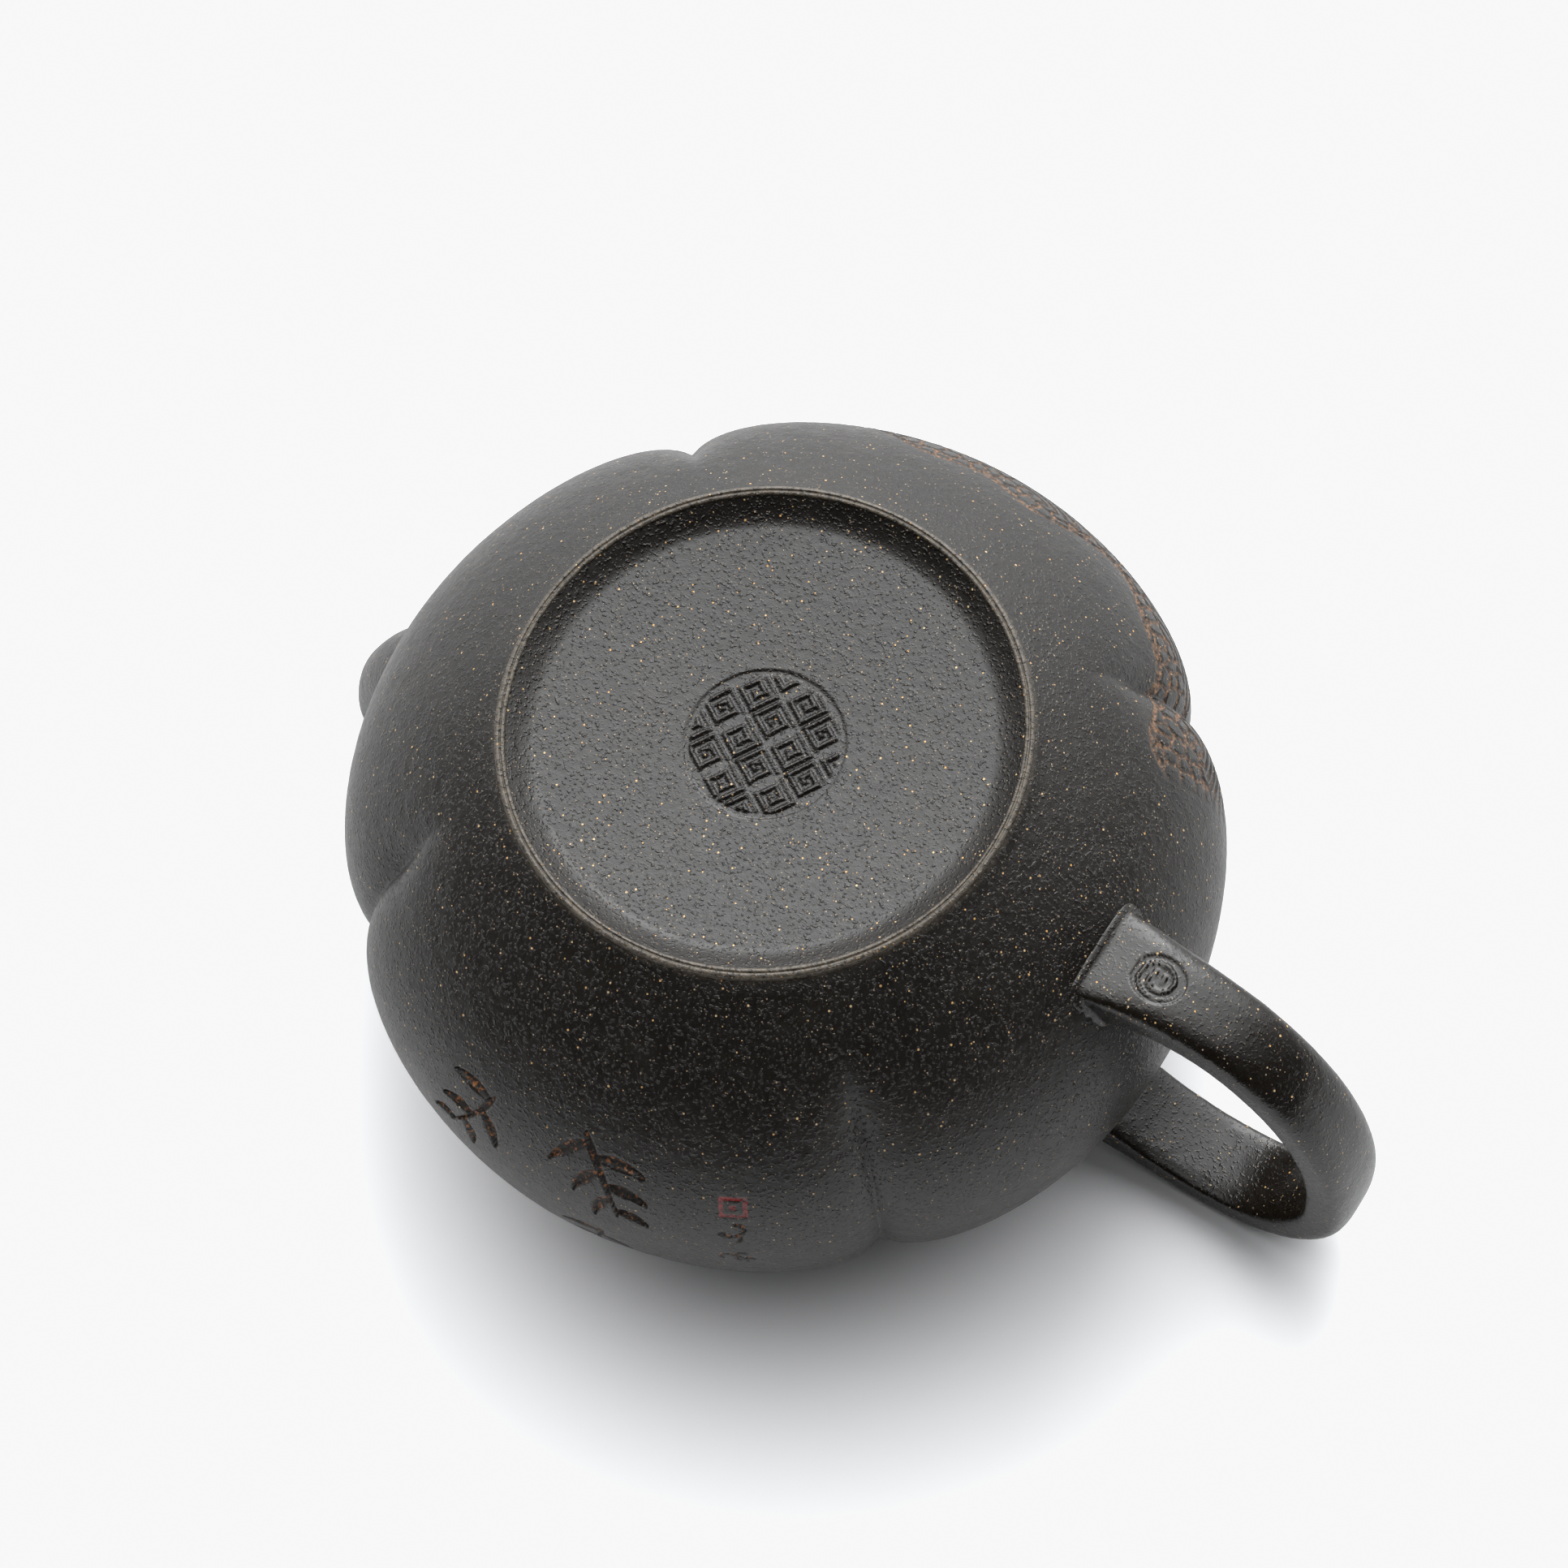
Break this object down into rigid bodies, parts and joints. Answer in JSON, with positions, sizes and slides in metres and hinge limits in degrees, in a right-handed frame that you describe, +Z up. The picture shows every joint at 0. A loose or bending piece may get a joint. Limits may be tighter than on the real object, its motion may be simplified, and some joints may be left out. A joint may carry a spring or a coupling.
{
  "type": "clay teapot",
  "caption": "Small four-lobed dark stoneware teapot with a short spout, an ear-shaped side handle, a recessed base inside a narrow foot ring, and a lobed drop-in lid with a bud knob.",
  "frame": {"origin": "centre of the circle that the foot stands on", "axes": "+Z up, +X towards the spout, -X towards the handle"},
  "size_m": [0.1452, 0.1044, 0.0776],
  "materials": {
    "base_clay": "unglazed satin stoneware with fine pale and golden specks",
    "body_clay": "unglazed satin stoneware with fine pale and golden specks",
    "spout_clay": "unglazed satin stoneware with fine pale and golden specks",
    "handle_clay": "unglazed satin stoneware with fine pale and golden specks",
    "lid_clay": "unglazed satin stoneware with fine pale and golden specks",
    "knob_clay": "unglazed satin stoneware with fine pale and golden specks"
  },
  "bodies": {
    "pot": {"foot_ring": "base_clay", "base_disc": "base_clay", "body_wall": "body_clay", "shoulder_disc": "body_clay", "mouth_ring": "body_clay", "spout": "spout_clay", "spout_strainer": "spout_clay", "handle": "handle_clay"},
    "lid": {"lid_cap": "lid_clay", "lid_flange": "lid_clay", "knob": "knob_clay"}
  },
  "joints": [
    {"name": "lid_lift", "type": "slide", "parent": "pot", "child": "lid", "axis": [0, 0, 1], "range_m": [0, 0.06]}
  ]
}
